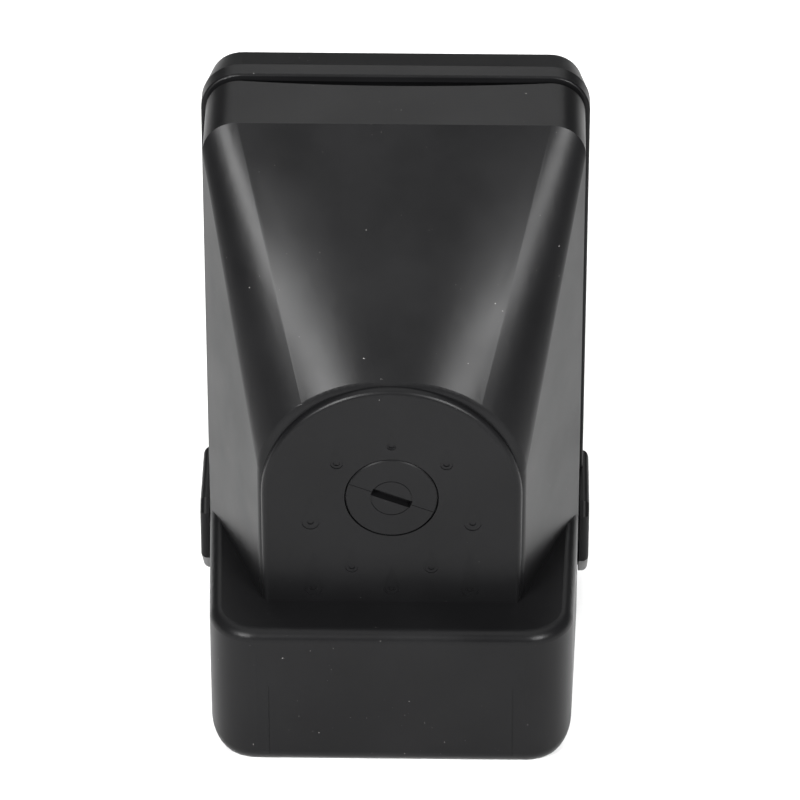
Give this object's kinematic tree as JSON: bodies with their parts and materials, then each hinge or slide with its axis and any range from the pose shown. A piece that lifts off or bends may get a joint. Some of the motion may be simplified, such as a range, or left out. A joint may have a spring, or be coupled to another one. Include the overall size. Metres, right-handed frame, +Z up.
{
  "type": "rodent bait station",
  "caption": "Upright tamper-resistant rodent bait station: a back tray with side entries, a hinged hood-shaped cover with a key lock, a bait rack with rods, and a lift-out tray.",
  "frame": {"origin": "centre of the bottom of the bounding box, on the surface the station stands on", "axes": "+X right across the front, +Z up along the height, -Y out of the front cover"},
  "size_m": [0.1344, 0.121, 0.2109],
  "materials": {
    "black_plastic": "satin moulded",
    "lock_plastic": "satin moulded",
    "grey_plastic": "moulded",
    "tray_plastic": "moulded",
    "steel": "bright zinc",
    "spring_steel": "dark oiled",
    "bait": "pressed wax and grain"
  },
  "bodies": {
    "base": {"base_tray": "black_plastic", "hinge_pin": "steel", "lock_post": "grey_plastic", "post_screws": "steel", "strike_plate": "steel", "strike_screws": "steel", "bait_rack": "grey_plastic", "rack_screws": "steel", "baffle_left": "grey_plastic", "baffle_right": "grey_plastic", "bait_block_1": "bait", "bait_block_2": "bait", "bait_block_3": "bait", "bait_block_4": "bait", "bait_block_5": "bait", "bait_block_6": "bait"},
    "cover": {"front_cover": "black_plastic", "lock_washer": "steel"},
    "lock": {"lock_disc": "lock_plastic", "lock_clip": "spring_steel", "lock_cam": "steel", "lock_screw": "steel"},
    "tray": {"bait_tray": "tray_plastic"},
    "rod_left": {"bait_rod_left": "steel"},
    "rod_right": {"bait_rod_right": "steel"}
  },
  "joints": [
    {"name": "cover_hinge", "type": "hinge", "parent": "base", "child": "cover", "pos_m": [0, -0.055, 0.0055], "axis": [1, 0, 0], "range_deg": [0, 90]},
    {"name": "lock_turn", "type": "hinge", "parent": "cover", "child": "lock", "pos_m": [0, -0.0375, 0.0986], "axis": [0, 1, 0], "range_deg": [0, 90]},
    {"name": "tray_lift", "type": "slide", "parent": "base", "child": "tray", "axis": [0, 0, 1], "range_m": [0, 0.02]},
    {"name": "rod_lift_left", "type": "slide", "parent": "base", "child": "rod_left", "axis": [0, 0, 1], "range_m": [0, 0.025]},
    {"name": "rod_lift_right", "type": "slide", "parent": "base", "child": "rod_right", "axis": [0, 0, 1], "range_m": [0, 0.025]}
  ]
}
